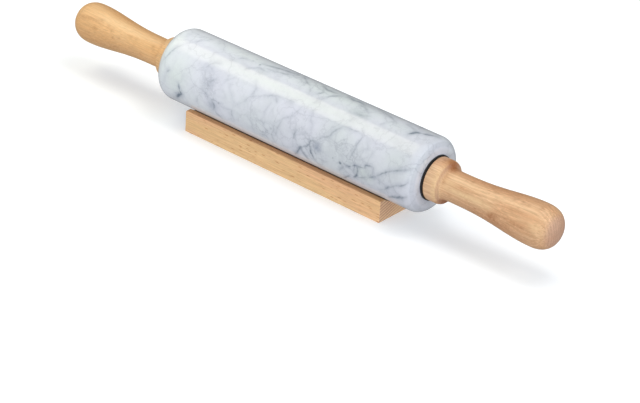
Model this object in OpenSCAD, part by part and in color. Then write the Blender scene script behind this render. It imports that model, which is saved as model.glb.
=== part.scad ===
// Marble rolling pin lying in its wooden cradle.
// X runs along the pin, Z is up, and the origin is under the middle of the cradle on the table.
// A steel axle with a shoulder near each end passes through the barrel and turns in two plastic bushes.
// A wooden handle with a brass insert is screwed on each end of the axle, against a steel washer.

/* [Barrel] */
// Length of the marble barrel between its end faces
barrel_len = 260; // [200:5:340]
// Diameter of the barrel
barrel_d = 60; // [54:1:80]
// Rounding of the edge at each end of the barrel
barrel_edge_r = 8; // [2:0.5:8.5]
// Diameter of the bore through the barrel
barrel_bore_d = 16; // [13:0.5:20]

/* [Bushes] */
// Diameter of a bush's sleeve, which is glued in the end of the barrel
bush_d = 22; // [20:0.5:30]
// Length of a bush's sleeve
bush_len = 20; // [10:1:40]
// Diameter of a bush's flange, which shows as a black ring round the handle's collar
flange_d = 36; // [32:0.2:37]
// Thickness of a bush's flange
flange_t = 1.5; // [0.6:0.1:2]
// Bevel at the inner end of the sleeve, to lead it into the barrel
bush_bevel = 1; // [0.5:0.1:2]

/* [Axle] */
// Diameter of the axle in its bushes
axle_d = 10; // [9:0.5:12]
// Diameter of the threaded stud at each end of the axle
stud_d = 8; // [5:0.5:8]
// How far a stud reaches past the insert that it is screwed into
stud_proud = 2; // [0.5:0.5:6]
// Bevel at the tip of a stud
stud_bevel = 0.8; // [0.3:0.1:1.2]

/* [Washers] */
// Outer diameter of the washer between a shoulder of the axle and its handle
washer_d = 17; // [14:0.5:20]
// Thickness of the washer
washer_t = 1.6; // [1:0.1:2.5]

/* [Inserts] */
// Outer diameter of the brass insert in a handle
insert_d = 12; // [10:0.5:14]
// Length of the insert
insert_len = 20; // [12:1:30]
// Bevel at the mouth of the insert
insert_bevel = 0.7; // [0.3:0.1:0.8]

/* [Handles] */
// Length of a handle from its collar's face to its tip
handle_len = 110; // [90:0.5:150]
// Diameter of the collar that faces the barrel
collar_d = 34.4; // [33:0.2:37]
// Length of the collar's straight band
collar_len = 7; // [4:0.5:9]
// Length of the rounded shoulder behind the collar's band
shoulder_len = 3.8; // [2:0.2:6]
// Diameter at the foot of the rounded shoulder
shoulder_d = 30.5; // [28:0.5:32]
// Length of the hollow fillet between the shoulder and the neck
fillet_len = 3; // [1:0.1:4]
// Diameter where the hollow fillet runs out on the neck
fillet_d = 24.5; // [24.3:0.1:27]
// Diameter of the neck at its thinnest
neck_d = 24.2; // [22:0.2:24.2]
// Distance of the thinnest point of the neck from the collar's face
neck_x = 20.5; // [20:0.5:30]
// Diameter of the swell, at its widest
swell_d = 34; // [30:0.5:40]
// How late the neck swells: 1 is even, more keeps it slim for longer
swell_power = 1.34; // [1:0.02:1.6]
// Length of the rounded tip beyond the widest point
tip_len = 18; // [12:0.5:26]
// Bluntness of the tip: 2 is an ellipse, more is blunter
tip_power = 2.6; // [2:0.1:3.6]

/* [Cradle] */
// Length of the cradle
cradle_len = 200; // [140:1:220]
// Width of the cradle
cradle_w = 48; // [44:1:60]
// Height of the cradle
cradle_h = 18; // [15:0.5:24]
// Thickness of the wood left under the groove
cradle_floor = 12; // [6:0.5:13]
// Rounding of the cradle's upper edges and upright corners
cradle_edge_r = 1.2; // [0.4:0.1:2]
// How much the radius of the groove exceeds the radius of the barrel
groove_ease = 2; // [1:0.5:6]

/* [Fits] */
// Radial clearance of the axle in a bush
running_fit = 0.05; // [0.02:0.01:0.1]
// Radial clearance of glued and screwed pieces
glue_fit = 0.05; // [0.02:0.01:0.1]
// Radial clearance of a stud in its washer
washer_fit = 0.2; // [0.1:0.05:0.4]
// End play between a bush's flange and the washer
end_play = 0.2; // [0.1:0.05:0.5]
// How far a washer stands proud of the collar's face
washer_proud = 0.2; // [0.1:0.05:0.5]
// Gap between the barrel and the bottom of the groove
seat_gap = 0.3; // [0.2:0.05:0.5]
// Free depth left at the bottom of each blind hole
hole_spare = 1; // [0.5:0.5:3]

/* [Hidden] */
$fn = 96;
curve_steps = 36;  // points along each long curve of the handle
arc_steps = 10;    // points along each short arc of the handle
tip_steps = 20;    // points along the handle's rounded tip
over = 1;          // how far a cutting tool runs past the face that it cuts

barrel_r = barrel_d / 2;
groove_r = barrel_r + groove_ease;
axis_h = cradle_floor + seat_gap + barrel_r;
thrust_x = barrel_len / 2 + flange_t + end_play;  // shoulder of the axle and inner face of a washer
collar_x = thrust_x + washer_proud;               // face of a handle's collar
recess_depth = washer_t - washer_proud;           // how deep a washer sits in its handle
stud_len = washer_t + insert_len + stud_proud;
stud_hole_depth = recess_depth + insert_len + stud_proud + hole_spare;
swell_x = handle_len - tip_len;
shoulder_end = collar_len + shoulder_len;
neck_start = shoulder_end + fillet_len;

beech = [0.83, 0.64, 0.43];
marble = [0.87, 0.89, 0.92];
black_plastic = [0.08, 0.08, 0.09];
steel = [0.70, 0.71, 0.73];
brass = [0.80, 0.64, 0.30];

// Turns a shape built round +Z from the origin so that it runs along +X on the pin's axis from x.
module along_pin(x = 0) {
    translate([x, 0, axis_h]) rotate([0, 90, 0]) children();
}

// Puts a shape made for the right end (+X) at the right end, or its mirror image at the left end.
module at_end(side) {
    if (side == "left") mirror([1, 0, 0]) children();
    else children();
}

// A rectangle of width w and height h with all four corners rounded to radius r.
module rounded_rectangle(w, h, r) {
    square([w - 2 * r, h], center = true);
    square([w, h - 2 * r], center = true);
    for (sx = [-1, 1], sy = [-1, 1])
        translate([sx * (w / 2 - r), sy * (h / 2 - r)]) circle(r);
}

// Cradle: a block with rounded edges and a shallow round groove along its top.
module cradle() {
    color(beech)
    difference() {
        intersection() {
            linear_extrude(cradle_h) rounded_rectangle(cradle_len, cradle_w, cradle_edge_r);
            rotate([90, 0, 90]) linear_extrude(cradle_len, center = true)
                cradle_outline(cradle_w);
            rotate([90, 0, 0]) linear_extrude(cradle_w, center = true)
                cradle_outline(cradle_len);
        }
        translate([-cradle_len / 2 - over, 0, cradle_floor + groove_r]) rotate([0, 90, 0])
            cylinder(r = groove_r, h = cradle_len + 2 * over);
    }
}

// Outline of the cradle seen square on: flat foot, upper corners rounded.
module cradle_outline(w) {
    square_h = cradle_h - cradle_edge_r;
    translate([-w / 2, 0]) square([w, square_h]);
    translate([-w / 2 + cradle_edge_r, 0]) square([w - 2 * cradle_edge_r, cradle_h]);
    for (side = [-1, 1])
        translate([side * (w / 2 - cradle_edge_r), square_h]) circle(cradle_edge_r);
}

// Barrel: a round bar with rounded ends, a through bore and a wider seat for a bush at each end.
module barrel() {
    seat_r = bush_d / 2 + glue_fit;
    seat_depth = bush_len + hole_spare;
    color(marble)
    along_pin()
    difference() {
        rotate_extrude() barrel_half_outline();
        cylinder(d = barrel_bore_d, h = barrel_len + 2 * over, center = true);
        for (side = [0, 1]) mirror([0, 0, side])
            translate([0, 0, barrel_len / 2 - seat_depth]) cylinder(r = seat_r, h = seat_depth + over);
    }
}

// Half of the barrel's section, from its axis out, with a rounded corner at each end.
module barrel_half_outline() {
    straight = barrel_len - 2 * barrel_edge_r;
    translate([0, -barrel_len / 2]) square([barrel_r - barrel_edge_r, barrel_len]);
    translate([0, -straight / 2]) square([barrel_r, straight]);
    for (side = [-1, 1])
        translate([barrel_r - barrel_edge_r, side * straight / 2]) circle(barrel_edge_r);
}

// Bush: a flanged sleeve with a bevelled inner end and a running bore for the axle.
module bush(side) {
    r = bush_d / 2;
    bore_r = axle_d / 2 + running_fit;
    color(black_plastic)
    at_end(side) along_pin(barrel_len / 2)
    difference() {
        rotate_extrude() polygon([
            [0, -bush_len], [r - bush_bevel, -bush_len], [r, bush_bevel - bush_len],
            [r, 0], [flange_d / 2, 0], [flange_d / 2, flange_t], [0, flange_t]
        ]);
        translate([0, 0, -bush_len - over]) cylinder(r = bore_r, h = bush_len + flange_t + 2 * over);
    }
}

// Axle: a round bar with a shoulder and a thinner stud at each end.
module axle() {
    tip_x = thrust_x + stud_len;
    color(steel)
    along_pin() {
        cylinder(d = axle_d, h = 2 * thrust_x, center = true);
        cylinder(d = stud_d, h = 2 * (tip_x - stud_bevel), center = true);
        for (side = [0, 1]) mirror([0, 0, side])
            translate([0, 0, tip_x - stud_bevel])
                cylinder(d1 = stud_d, d2 = stud_d - 2 * stud_bevel, h = stud_bevel);
    }
}

// Washer: sits on the stud, against the axle's shoulder, in the recess of the handle's face.
module washer(side) {
    color(steel)
    at_end(side) along_pin(thrust_x)
    difference() {
        cylinder(d = washer_d, h = washer_t);
        translate([0, 0, -over]) cylinder(r = stud_d / 2 + washer_fit, h = washer_t + 2 * over);
    }
}

// Insert: a brass sleeve, threaded inside in the real object, glued in the handle.
module insert(side) {
    bore_r = stud_d / 2 + glue_fit;
    color(brass)
    at_end(side) along_pin(thrust_x + washer_t)
    difference() {
        cylinder(d = insert_d, h = insert_len);
        translate([0, 0, -over]) cylinder(r = bore_r, h = insert_len + 2 * over);
        cylinder(r1 = bore_r + insert_bevel, r2 = bore_r, h = insert_bevel);
    }
}

// Smooth rise from 0 to 1 while u goes from 0 to 1, held back by the power.
function ease(u, power) = (1 - cos(180 * pow(u, power))) / 2;

// Radius of the handle's neck and swell at distance x from the collar's face.
function neck_r(x) =
    let (run_in = (neck_x - x) / (neck_x - neck_start), run_out = (x - neck_x) / (swell_x - neck_x))
    x < neck_x
        ? (neck_d + (fillet_d - neck_d) * pow(run_in, 2)) / 2
        : (neck_d + (swell_d - neck_d) * ease(run_out, swell_power)) / 2;

// Radius of the handle's tip where s goes from 0 at the widest point to 1 at the end.
function tip_r(s) = swell_d / 2 * pow(max(0, 1 - pow(s, tip_power)), 1 / tip_power);

// The handle's turned outline, piece by piece, as [radius, distance from the collar's face].
band_points = [[0, 0], [collar_d / 2, 0]];
shoulder_points = [for (i = [0:arc_steps]) let (a = 90 * i / arc_steps)
    [(shoulder_d + (collar_d - shoulder_d) * cos(a)) / 2, collar_len + shoulder_len * sin(a)]];
fillet_points = [for (i = [1:arc_steps]) let (a = 90 * i / arc_steps)
    [(shoulder_d - (shoulder_d - fillet_d) * sin(a)) / 2, shoulder_end + fillet_len * (1 - cos(a))]];
neck_points = [for (i = [1:curve_steps]) let (x = neck_start + (swell_x - neck_start) * i / curve_steps)
    [neck_r(x), x]];
tip_points = [for (i = [1:tip_steps]) let (s = sin(90 * i / tip_steps))
    [tip_r(s), swell_x + tip_len * s]];
handle_outline = concat(band_points, shoulder_points, fillet_points, neck_points, tip_points);

// Handle: one turned piece with a collar, a hollow neck, a swell and a blunt round tip.
module handle(side) {
    color(beech)
    at_end(side) along_pin(collar_x)
    difference() {
        rotate_extrude() polygon(handle_outline);
        translate([0, 0, -over]) cylinder(r = washer_d / 2 + glue_fit, h = recess_depth + over);
        cylinder(r = insert_d / 2 + glue_fit, h = recess_depth + insert_len);
        cylinder(r = stud_d / 2 + washer_fit, h = stud_hole_depth);
    }
}

cradle();
barrel();
bush("left");  // bush_left
bush("right");  // bush_right
axle();
washer("left");  // washer_left
washer("right");  // washer_right
insert("left");  // insert_left
insert("right");  // insert_right
handle("left");  // handle_left
handle("right");  // handle_right
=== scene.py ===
from math import acos, cos, pi, radians, sin

import bmesh
import bpy
import numpy as np
from mathutils import Matrix, Vector, noise


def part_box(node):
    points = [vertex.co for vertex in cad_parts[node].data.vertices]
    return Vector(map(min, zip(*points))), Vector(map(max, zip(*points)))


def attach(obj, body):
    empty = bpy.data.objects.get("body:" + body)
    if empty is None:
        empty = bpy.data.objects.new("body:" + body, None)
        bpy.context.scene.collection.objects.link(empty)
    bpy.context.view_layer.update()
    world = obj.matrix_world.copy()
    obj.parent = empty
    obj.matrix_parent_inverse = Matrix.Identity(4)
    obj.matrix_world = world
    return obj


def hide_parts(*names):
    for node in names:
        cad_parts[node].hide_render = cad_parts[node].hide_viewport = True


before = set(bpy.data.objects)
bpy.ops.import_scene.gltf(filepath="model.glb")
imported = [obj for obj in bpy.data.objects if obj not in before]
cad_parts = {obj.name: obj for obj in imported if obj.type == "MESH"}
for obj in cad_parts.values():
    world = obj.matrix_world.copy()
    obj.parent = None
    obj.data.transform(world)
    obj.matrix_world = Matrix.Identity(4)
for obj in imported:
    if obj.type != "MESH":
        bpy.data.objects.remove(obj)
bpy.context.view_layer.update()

MM = 0.001
TINY = 1e-6                # metres within which two places are the same
SIDES = ("left", "right")

# Sizes read from the frame
barrel_low, barrel_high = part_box("barrel")
barrel_half = barrel_high.x
barrel_r = barrel_high.y
axis_h = (barrel_low.z + barrel_high.z) / 2
collar_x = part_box("handle_right")[0].x
tip_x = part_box("handle_right")[1].x
cradle_low, cradle_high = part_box("cradle")

# Barrel and its hidden bore
barrel_edge_r = 8 * MM
bore_r = 8 * MM
seat_r = 11.05 * MM
seat_depth = 21 * MM
ring_step = 0.66 * MM      # spacing of the rings along the barrel, fine enough to carry its veins
barrel_segments = 224

# Handle outline, from the collar's face to the tip
collar_r = 17.2 * MM
collar_len = 7 * MM
collar_ease = 0.35 * MM    # sanded edge of the collar's face
shoulder_len = 3.8 * MM
shoulder_r = 15.25 * MM
fillet_len = 3 * MM
fillet_r = 12.25 * MM
neck_r = 12.1 * MM
neck_x = 20.5 * MM
swell_r = 17 * MM
swell_power = 1.34
tip_len = 18 * MM
tip_power = 2.6
handle_segments = 160

# Small pieces
washer_r = 8.5 * MM
washer_t = 1.6 * MM
thrust_x = 131.7 * MM      # the axle's shoulder, against which washer and handle are clamped
axle_r = 5 * MM
stud_r = 4 * MM
stud_len = 23.6 * MM
stud_clear_r = 4.2 * MM    # plain holes that a stud goes through
insert_r = 6 * MM
insert_len = 20 * MM
bush_r = 11 * MM
bush_len = 20 * MM
flange_r = 18 * MM
flange_t = 1.5 * MM
thread_pitch = 1.25 * MM
thread_depth = 0.6 * MM

# Cradle
groove_r = 32 * MM
cradle_floor = 12 * MM
cradle_ease = 1.2 * MM     # rounding of its outer edges
groove_ease = 0.4 * MM     # sanded arris along the groove


def new_object(name, data):
    """An object in the scene for a mesh, a light or a camera."""
    made = bpy.data.objects.new(name, data)
    bpy.context.scene.collection.objects.link(made)
    return made


def set_up(made, place, side, up, back):
    """Stands an object at a place, with its own three axes pointing as given."""
    made.matrix_world = Matrix((side, up, back)).transposed().to_4x4()
    made.matrix_world.translation = place


# Nodes

REAL, WHOLE, COLOUR = "NodeSocketFloat", "NodeSocketInt", "NodeSocketColor"
VECTOR, GEOMETRY, MATERIAL = "NodeSocketVector", "NodeSocketGeometry", "NodeSocketMaterial"


class Net:
    """Adds nodes to a tree and joins them: a socket given as an input is linked, anything else is set."""

    def __init__(self, tree):
        self.tree = tree

    def link(self, source, target):
        self.tree.links.new(source, target)

    def add(self, kind, inputs=None, **settings):
        node = self.tree.nodes.new(kind)
        for name, value in settings.items():
            setattr(node, name, value)
        for key, value in (inputs or {}).items():
            if isinstance(value, bpy.types.NodeSocket):
                self.link(value, node.inputs[key])
            else:
                node.inputs[key].default_value = value
        return node

    def math(self, operation, a, b=0.0, c=0.0, clamp=False):
        node = self.add("ShaderNodeMath", {0: a, 1: b, 2: c}, operation=operation, use_clamp=clamp)
        return node.outputs[0]

    def plus(self, a, b):
        return self.math("ADD", a, b)

    def minus(self, a, b):
        return self.math("SUBTRACT", a, b)

    def times(self, a, b, clamp=False):
        return self.math("MULTIPLY", a, b, clamp=clamp)

    def over(self, a, b):
        return self.math("DIVIDE", a, b)

    def vector(self, operation, a, b=(0, 0, 0)):
        return self.add("ShaderNodeVectorMath", {0: a, 1: b}, operation=operation).outputs["Vector"]

    def scaled(self, v, factor):
        """A vector or colour times one number."""
        return self.add("ShaderNodeVectorMath", {0: v, "Scale": factor}, operation="SCALE").outputs["Vector"]

    def split(self, v):
        return self.add("ShaderNodeSeparateXYZ", {"Vector": v}).outputs

    def join(self, x, y, z):
        return self.add("ShaderNodeCombineXYZ", {"X": x, "Y": y, "Z": z}).outputs[0]

    def from_x_axis(self, v):
        """How far a point lies from the X axis."""
        _, y, z = self.split(v)
        node = self.add("ShaderNodeVectorMath", {0: self.join(0.0, y, z)}, operation="LENGTH")
        return node.outputs["Value"]

    def coordinates(self):
        return self.add("ShaderNodeTexCoord").outputs

    def moved(self, v, by):
        return self.add("ShaderNodeMapping", {"Vector": v, "Location": by}).outputs[0]

    def ramp(self, value, low, high, to_low=0.0, to_high=1.0):
        """Smooth step of value from low to high."""
        inputs = {"Value": value, "From Min": low, "From Max": high, "To Min": to_low, "To Max": to_high}
        return self.add("ShaderNodeMapRange", inputs, interpolation_type="SMOOTHSTEP").outputs[0]

    def mix(self, factor, a, b, blend="MIX"):
        node = self.add("ShaderNodeMix", {0: factor, 6: a, 7: b}, data_type="RGBA", blend_type=blend)
        return node.outputs[2]

    def tinted(self, colour, tint):
        return self.mix(1.0, colour, tint, "MULTIPLY")

    def noise(self, v, scale, detail=3.0, roughness=0.55, distortion=0.0, output=0):
        inputs = {"Vector": v, "Scale": scale, "Detail": detail, "Roughness": roughness}
        inputs["Distortion"] = distortion
        return self.add("ShaderNodeTexNoise", inputs, noise_dimensions="3D").outputs[output]

    def long_noise(self, v, along, across, detail, roughness=0.55):
        """Noise with one scale along X and another across it."""
        return self.noise(self.vector("MULTIPLY", v, (along, across, across)), 1.0, detail, roughness)

    def stored(self, name):
        """A value that is stored on the points of the mesh."""
        return self.add("ShaderNodeAttribute", attribute_name=name).outputs["Fac"]

    def relief(self, shader, height, strength, distance):
        """Gives a shader's surface a bumpy height."""
        bump = self.add("ShaderNodeBump", {"Height": height, "Strength": strength, "Distance": distance})
        self.link(bump.outputs[0], shader.inputs["Normal"])


def new_group(name, kind, inputs, outputs):
    """A node group with the given sockets, as its Net and its input and output nodes."""
    tree = bpy.data.node_groups.new(name, kind)
    for side, sockets in (("INPUT", inputs), ("OUTPUT", outputs)):
        for label, socket_type in sockets.items():
            tree.interface.new_socket(label, in_out=side, socket_type=socket_type)
    net = Net(tree)
    return net, net.add("NodeGroupInput").outputs, net.add("NodeGroupOutput").inputs


def spaced(values):
    """Keyword names as socket names."""
    return {name.replace("_", " "): value for name, value in values.items()}


def new_material(name, **uniform):
    """A material with a Principled shader, as its Net, the shader and the material.
    Values that are the same all over go on the shader."""
    made = bpy.data.materials.new(name)
    made.use_nodes = True
    shader = made.node_tree.nodes["Principled BSDF"]
    for label, value in spaced(uniform).items():
        shader.inputs[label].default_value = value
    return Net(made.node_tree), shader, made


# Camera, floor and lights

def make_camera():
    """The camera looks at the middle of the pin from the front right, a little rolled."""
    azimuth, elevation, roll = radians(38.923), radians(29.155), radians(4.157)
    distance, aside, above = 1.7257, -13.35 * MM, 64.73 * MM
    back = Vector((sin(azimuth) * cos(elevation), -cos(azimuth) * cos(elevation), sin(elevation)))
    level = Vector((cos(azimuth), sin(azimuth), 0))
    upright = back.cross(level)
    right = level * cos(roll) + upright * sin(roll)
    up = upright * cos(roll) - level * sin(roll)
    data = bpy.data.cameras.new("camera")
    data.lens, data.sensor_width = 126.628, 36.0
    data.clip_start, data.clip_end = 0.05, 60.0
    camera = new_object("camera", data)
    place = Vector((0, 0, axis_h)) + back * distance - right * aside - up * above
    set_up(camera, place, right, up, back)
    bpy.context.scene.camera = camera


FLOOR_HALF = 12.0
FLOOR_WHITES = ((0.845, 0.857, 0.88, 1), (0.865, 0.877, 0.90, 1))
FLOOR_GLOW = {"Emission_Color": (0.86, 0.94, 1, 1), "Emission_Strength": 0.30}


def make_floor():
    """A plain pale floor."""
    mesh = bpy.data.meshes.new("floor")
    corners = [(FLOOR_HALF * x, FLOOR_HALF * y, 0) for x, y in ((-1, -1), (1, -1), (1, 1), (-1, 1))]
    mesh.from_pydata(corners, [], [(0, 1, 2, 3)])
    floor = new_object("floor", mesh)
    net, shader, material = new_material("floor_white", Roughness=0.9, Specular_IOR_Level=0.0, **FLOOR_GLOW)
    grain = net.noise(net.coordinates()["Object"], 3.0)
    net.link(net.mix(grain, *FLOOR_WHITES), shader.inputs["Base Color"])
    mesh.materials.append(material)
    floor.visible_diffuse = floor.visible_glossy = False


# The soft box overhead that the marble mirrors as a long pale stripe. It faces straight down.
BAND_PLACE = (-0.68, -0.16, 1.04)
BAND_SIZE = (0.60, 0.74)
BAND_POWER = 3.5
BAND_TINT = (1.0, 0.93, 0.70)
# The other soft boxes as (name, place, size, power in watts). They face the middle of the pin.
SOFTBOXES = (
    ("small_overhead", (0.25, 0.06, 1.02), (0.5, 0.4), 2.3),
    ("left_side", (-1.8, 0.1, 1.0), (1.2, 0.9), 1.4),
    ("right_side", (1.6, 0.2, 0.9), (1.2, 0.9), 7.2),
    ("low_front", (-0.2, -1.9, 0.30), (1.4, 0.5), 7.5),
    ("low_right", (1.2, -1.6, 0.30), (1.2, 0.5), 13.3),
    ("far_right", (1.9, 0.1, 0.30), (1.2, 0.5), 1.0),
)
ROOM_LIGHT = 0.52
ROOM_IN_POLISH = 0.04      # brightness of the room in polished pieces
TABLE_IN_POLISH = 0.20     # and of what they mirror below them


def softbox(name, place, size, power, aim=(0, 0, axis_h), tint=(1, 1, 1), in_polish=False):
    """A rectangular area light. Polished pieces mirror it if in_polish is true."""
    data = bpy.data.lights.new(name, "AREA")
    data.shape, data.size, data.size_y = "RECTANGLE", size[0], size[1]
    data.energy, data.color = power, tint
    light = new_object(name, data)
    towards = (Vector(aim) - Vector(place)).normalized()
    side = (Vector((1, 0, 0)) - towards * towards.x).normalized()
    set_up(light, place, side, (-towards).cross(side), -towards)
    light.visible_glossy = in_polish


def make_lights():
    """A white room with soft boxes. To the camera the room is white, and to polished pieces it is dim."""
    below_band = (BAND_PLACE[0], BAND_PLACE[1], 0)
    softbox("band_overhead", BAND_PLACE, BAND_SIZE, BAND_POWER, below_band, BAND_TINT, True)
    for light in SOFTBOXES:
        softbox(*light)
    world = bpy.data.worlds.new("room")
    bpy.context.scene.world = world
    world.use_nodes = True
    net = Net(world.node_tree)
    room = world.node_tree.nodes["Background"]
    room.inputs["Color"].default_value = (1, 1, 1, 1)
    ray = net.add("ShaderNodeLightPath").outputs
    height = net.split(net.coordinates()["Generated"])["Z"]
    in_polish = net.ramp(height, -0.1, -0.6, ROOM_IN_POLISH, TABLE_IN_POLISH)
    seen = net.ramp(ray["Is Camera Ray"], 0.0, 1.0, ROOM_LIGHT, 1.0)
    net.link(net.ramp(ray["Is Glossy Ray"], 0.0, 1.0, seen, in_polish), room.inputs["Strength"])


# Turned pieces

def thread_cut(net, given, x, radius, turn):
    """How deep a helical thread is cut where the radius is between Thread From and Thread To."""
    phase = net.minus(net.over(x, given["Thread Pitch"]), turn)
    tooth = net.times(net.math("PINGPONG", phase, 0.5), 2.0)
    above = net.math("GREATER_THAN", radius, given["Thread From"])
    below = net.math("LESS_THAN", radius, given["Thread To"])
    return net.times(tooth, net.times(net.times(above, below), given["Thread Depth"]))


def smoothed(net, mesh, crease):
    """Shades a mesh smooth, apart from edges that bend more than the crease."""
    bend = net.add("GeometryNodeInputMeshEdgeAngle").outputs["Unsigned Angle"]
    faces = net.add("GeometryNodeSetShadeSmooth", {"Geometry": mesh, "Shade Smooth": True}).outputs[0]
    inputs = {"Geometry": faces, "Shade Smooth": net.math("LESS_THAN", bend, crease)}
    return net.add("GeometryNodeSetShadeSmooth", inputs, domain="EDGE").outputs[0]


def build_turned_tree():
    """Geometry Nodes tree that turns an outline of points (x, 0, radius) round the pin's axis."""
    net, given, out = new_group(
        "turned", "GeometryNodeTree",
        {
            "Outline": GEOMETRY, "Segments": WHOLE, "Axis Height": REAL, "Thread Pitch": REAL,
            "Thread Depth": REAL, "Thread From": REAL, "Thread To": REAL, "Crease Angle": REAL,
            "Material": MATERIAL,
        },
        {"Mesh": GEOMETRY},
    )
    outline, segments = given["Outline"], given["Segments"]
    points = net.add("GeometryNodeAttributeDomainSize", {"Geometry": outline}).outputs["Point Count"]
    rows = net.plus(segments, 1.0)
    grid = net.add("GeometryNodeMeshGrid", {"Vertices X": points, "Vertices Y": rows}).outputs["Mesh"]
    index = net.add("GeometryNodeInputIndex").outputs[0]
    along = net.math("FLOOR", net.over(net.plus(index, 0.5), rows))
    turn = net.over(net.minus(index, net.times(along, rows)), segments)
    inputs = {"Geometry": outline, "Index": along}
    inputs["Value"] = net.add("GeometryNodeInputPosition").outputs[0]
    point = net.add("GeometryNodeSampleIndex", inputs, data_type="FLOAT_VECTOR").outputs["Value"]
    x, _, radius = net.split(point)
    turned_r = net.minus(radius, thread_cut(net, given, x, radius, turn))
    angle = net.times(turn, -2 * pi)
    y = net.times(turned_r, net.math("COSINE", angle))
    z = net.plus(net.times(turned_r, net.math("SINE", angle)), given["Axis Height"])
    inputs = {"Geometry": grid, "Position": net.join(x, y, z)}
    moved = net.add("GeometryNodeSetPosition", inputs).outputs[0]
    merged = net.add("GeometryNodeMergeByDistance", {"Geometry": moved, "Distance": TINY}).outputs[0]
    smooth = smoothed(net, merged, given["Crease Angle"])
    real_mesh = net.add("GeometryNodeRealizeInstances", {"Geometry": smooth}).outputs[0]
    coated = {"Geometry": real_mesh, "Material": given["Material"]}
    net.link(net.add("GeometryNodeSetMaterial", coated).outputs[0], out["Mesh"])
    return net.tree


def turned(name, outline, tree, material, segments, crease=35, thread=(0, 0)):
    """A turned piece as one plain mesh. Its outline is a list of (x, radius), with the material on its
    left. A thread is cut where the radius is between the two that are given."""
    line = bpy.data.meshes.new(name + "_outline")
    edges = [(i, i + 1) for i in range(len(outline) - 1)]
    line.from_pydata([(x, 0, r) for x, r in outline], edges, [])
    maker = new_object(name + "_outline", line)
    modifier = maker.modifiers.new("turned", "NODES")
    modifier.node_group = tree
    sockets = {s.name: s.identifier for s in tree.interface.items_tree if s.in_out == "INPUT"}
    values = {
        "Segments": segments, "Axis Height": axis_h, "Thread Pitch": thread_pitch,
        "Thread Depth": thread_depth, "Thread From": float(thread[0]), "Thread To": float(thread[1]),
        "Crease Angle": radians(crease), "Material": material,
    }
    for label, value in values.items():
        modifier[sockets[label]] = value
    return settle(name, maker)


def settle(name, maker):
    """Turns an object with modifiers into a plain mesh object at the origin and removes the maker."""
    seen = maker.evaluated_get(bpy.context.evaluated_depsgraph_get())
    mesh = bpy.data.meshes.new_from_object(seen)
    mesh.name = name
    bpy.data.objects.remove(maker)
    return new_object(name, mesh)


def mirrored(outline, side):
    """The outline for one end of the pin: as given on the right, mirrored and reversed on the left."""
    return outline if side == "right" else [(-x, r) for x, r in reversed(outline)]


def arc(centre, radius, start, end, steps):
    """Points along an arc in the (x, radius) plane, with angles in degrees from +x towards the outside."""
    turns = [radians(start + (end - start) * i / steps) for i in range(steps + 1)]
    return [(centre[0] + radius * cos(a), centre[1] + radius * sin(a)) for a in turns]


def barrel_outline():
    """Closed outline of the barrel: out along its surface from the left, and back through the bore."""
    corner_x, corner_r = barrel_half - barrel_edge_r, barrel_r - barrel_edge_r
    face_steps, corner_steps = 8, 16
    straight_steps = round(2 * corner_x / ring_step)
    face = [seat_r + (corner_r - seat_r) * i / face_steps for i in range(face_steps)]
    left_face = [(-barrel_half, r) for r in face]
    left_corner = arc((-corner_x, corner_r), barrel_edge_r, 180, 90, corner_steps)
    straight = [(-corner_x + 2 * corner_x * i / straight_steps, barrel_r) for i in range(1, straight_steps)]
    right_corner = arc((corner_x, corner_r), barrel_edge_r, 90, 0, corner_steps)
    right_face = [(barrel_half, r) for r in reversed(face)]
    seat_x = barrel_half - seat_depth
    bore = [(seat_x, seat_r), (seat_x, bore_r), (-seat_x, bore_r), (-seat_x, seat_r)]
    return left_face + left_corner + straight + right_corner + right_face + bore + left_face[:1]


def handle_hole():
    """The handle's blind hole, from its bottom to the collar's face, with a recess for the washer."""
    hole_depth, recess_depth = 24.4 * MM, 1.4 * MM
    recess_r, insert_hole_r = 8.55 * MM, 6.05 * MM
    hole_end, recess_x = collar_x + hole_depth, collar_x + recess_depth
    insert_end = recess_x + insert_len
    bottom = [(hole_end, 0), (hole_end, stud_clear_r), (insert_end, stud_clear_r)]
    seat = [(insert_end, insert_hole_r), (recess_x, insert_hole_r)]
    return bottom + seat + [(recess_x, recess_r), (collar_x, recess_r)]


def neck_radius(x, neck_start, swell_x):
    """Radius of the handle's neck and swell at distance x from the collar's face."""
    if x < neck_x:
        return neck_r + (fillet_r - neck_r) * ((neck_x - x) / (neck_x - neck_start)) ** 2
    share = (x - neck_x) / (swell_x - neck_x)
    return neck_r + (swell_r - neck_r) * (1 - cos(pi * share ** swell_power)) / 2


def handle_outline():
    """Outline of the right handle, from the bottom of its hole out to the collar and on to the tip."""
    arc_steps, neck_steps, tip_steps = 12, 100, 36
    collar = arc((collar_x + collar_ease, collar_r - collar_ease), collar_ease, 180, 90, 4)
    quarter = [pi / 2 * i / arc_steps for i in range(arc_steps + 1)]
    shoulder_x, fillet_x = collar_x + collar_len, collar_x + collar_len + shoulder_len
    shoulder_drop, fillet_drop = collar_r - shoulder_r, shoulder_r - fillet_r
    shoulder = [(shoulder_x + shoulder_len * sin(a), shoulder_r + shoulder_drop * cos(a)) for a in quarter]
    fillet = [(fillet_x + fillet_len * (1 - cos(a)), shoulder_r - fillet_drop * sin(a)) for a in quarter[1:]]
    neck_start = collar_len + shoulder_len + fillet_len
    swell_x = tip_x - collar_x - tip_len
    rest = []
    for i in range(1, neck_steps + 1):
        x = neck_start + (swell_x - neck_start) * i / neck_steps
        rest.append((collar_x + x, neck_radius(x, neck_start, swell_x)))
    for i in range(1, tip_steps):
        s = sin(pi / 2 * i / tip_steps)
        rest.append((collar_x + swell_x + tip_len * s, swell_r * (1 - s ** tip_power) ** (1 / tip_power)))
    return handle_hole() + collar + shoulder + fillet + rest + [(tip_x, 0)]


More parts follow.
